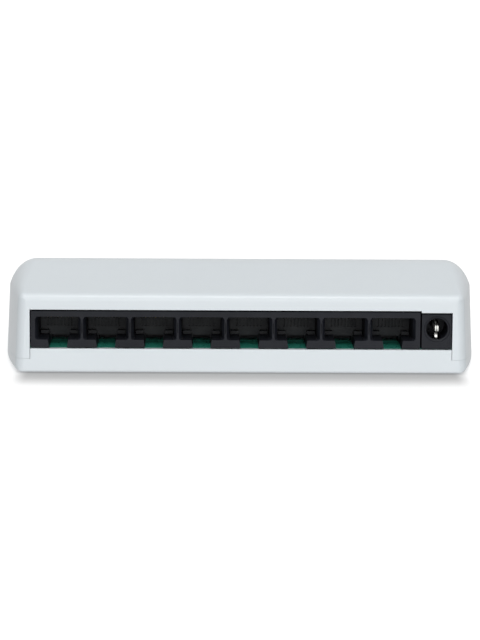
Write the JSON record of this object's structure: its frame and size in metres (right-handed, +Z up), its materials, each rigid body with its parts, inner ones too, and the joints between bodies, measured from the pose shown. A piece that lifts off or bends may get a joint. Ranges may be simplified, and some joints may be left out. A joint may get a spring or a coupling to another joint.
{
  "type": "desktop network switch",
  "caption": "Free-standing desktop network switch: pale clamshell case, ridge-backed roof, a row of modular jacks and a round DC inlet in the back.",
  "frame": {"origin": "under the middle of the case, on the plane that the feet stand on", "axes": "+X along the row of ports towards the DC inlet, -Y out of the ports, +Y towards the indicator lights, +Z up"},
  "size_m": [0.1414, 0.08, 0.0307],
  "materials": {
    "case_plastic": "fine satin texture, pale blue-grey white",
    "jack_plastic": "moulded black thermoplastic, satin",
    "board": "green solder mask, semi-gloss",
    "rubber": "matte",
    "gold_contact": "gold-plated spring bronze",
    "steel": "nickel-plated",
    "chip_resin": "moulded epoxy",
    "capacitor_can": "plain can",
    "light_lens": "clear green lens, unlit",
    "clear_guide": "clear moulded",
    "label": "blank film label"
  },
  "bodies": {
    "case": {"top_cover": "case_plastic", "base_tray": "case_plastic", "rj45_housing": "jack_plastic", "dc_jack_housing": "jack_plastic", "contact_insert_1": "jack_plastic", "contact_insert_2": "jack_plastic", "contact_insert_3": "jack_plastic", "contact_insert_4": "jack_plastic", "contact_insert_5": "jack_plastic", "contact_insert_6": "jack_plastic", "contact_insert_7": "jack_plastic", "contact_insert_8": "jack_plastic", "dc_jack_centre_pin": "steel", "crystal": "steel", "fuse": "steel", "case_screw_1": "steel", "case_screw_2": "steel", "case_screw_3": "steel", "case_screw_4": "steel", "pcb_screw_1": "steel", "pcb_screw_2": "steel", "pcb": "board", "foot_1": "rubber", "foot_2": "rubber", "foot_3": "rubber", "foot_4": "rubber", "lan_transformer_1": "chip_resin", "lan_transformer_2": "chip_resin", "lan_transformer_3": "chip_resin", "lan_transformer_4": "chip_resin", "switch_chip": "chip_resin", "inductor": "chip_resin", "regulator": "chip_resin", "diode": "chip_resin", "capacitor_1": "capacitor_can", "capacitor_2": "capacitor_can", "led_power": "light_lens", "led_1": "light_lens", "led_2": "light_lens", "led_3": "light_lens", "led_4": "light_lens", "led_5": "light_lens", "led_6": "light_lens", "led_7": "light_lens", "led_8": "light_lens", "light_guide": "clear_guide", "rating_label": "label"},
    "contact_springs_1": {"contacts_1": "gold_contact"},
    "contact_springs_2": {"contacts_2": "gold_contact"},
    "contact_springs_3": {"contacts_3": "gold_contact"},
    "contact_springs_4": {"contacts_4": "gold_contact"},
    "contact_springs_5": {"contacts_5": "gold_contact"},
    "contact_springs_6": {"contacts_6": "gold_contact"},
    "contact_springs_7": {"contacts_7": "gold_contact"},
    "contact_springs_8": {"contacts_8": "gold_contact"},
    "inlet_spring": {"dc_jack_spring": "steel"}
  },
  "joints": [
    {"name": "contact_flex_1", "type": "hinge", "parent": "case", "child": "contact_springs_1", "pos_m": [-0.05348, -0.0358, 0.017], "axis": [1, 0, 0], "range_deg": [0, 10], "stiffness_Nm_per_rad": 0.5},
    {"name": "contact_flex_2", "type": "hinge", "parent": "case", "child": "contact_springs_2", "pos_m": [-0.03951, -0.0358, 0.017], "axis": [1, 0, 0], "range_deg": [0, 10], "stiffness_Nm_per_rad": 0.5},
    {"name": "contact_flex_3", "type": "hinge", "parent": "case", "child": "contact_springs_3", "pos_m": [-0.02554, -0.0358, 0.017], "axis": [1, 0, 0], "range_deg": [0, 10], "stiffness_Nm_per_rad": 0.5},
    {"name": "contact_flex_4", "type": "hinge", "parent": "case", "child": "contact_springs_4", "pos_m": [-0.01157, -0.0358, 0.017], "axis": [1, 0, 0], "range_deg": [0, 10], "stiffness_Nm_per_rad": 0.5},
    {"name": "contact_flex_5", "type": "hinge", "parent": "case", "child": "contact_springs_5", "pos_m": [0.0024, -0.0358, 0.017], "axis": [1, 0, 0], "range_deg": [0, 10], "stiffness_Nm_per_rad": 0.5},
    {"name": "contact_flex_6", "type": "hinge", "parent": "case", "child": "contact_springs_6", "pos_m": [0.01637, -0.0358, 0.017], "axis": [1, 0, 0], "range_deg": [0, 10], "stiffness_Nm_per_rad": 0.5},
    {"name": "contact_flex_7", "type": "hinge", "parent": "case", "child": "contact_springs_7", "pos_m": [0.03034, -0.0358, 0.017], "axis": [1, 0, 0], "range_deg": [0, 10], "stiffness_Nm_per_rad": 0.5},
    {"name": "contact_flex_8", "type": "hinge", "parent": "case", "child": "contact_springs_8", "pos_m": [0.04431, -0.0358, 0.017], "axis": [1, 0, 0], "range_deg": [0, 10], "stiffness_Nm_per_rad": 0.5},
    {"name": "inlet_spring_flex", "type": "hinge", "parent": "case", "child": "inlet_spring", "pos_m": [0.05722, -0.0292, 0.0096], "axis": [1, 0, 0], "range_deg": [0, 5], "stiffness_Nm_per_rad": 0.1}
  ]
}
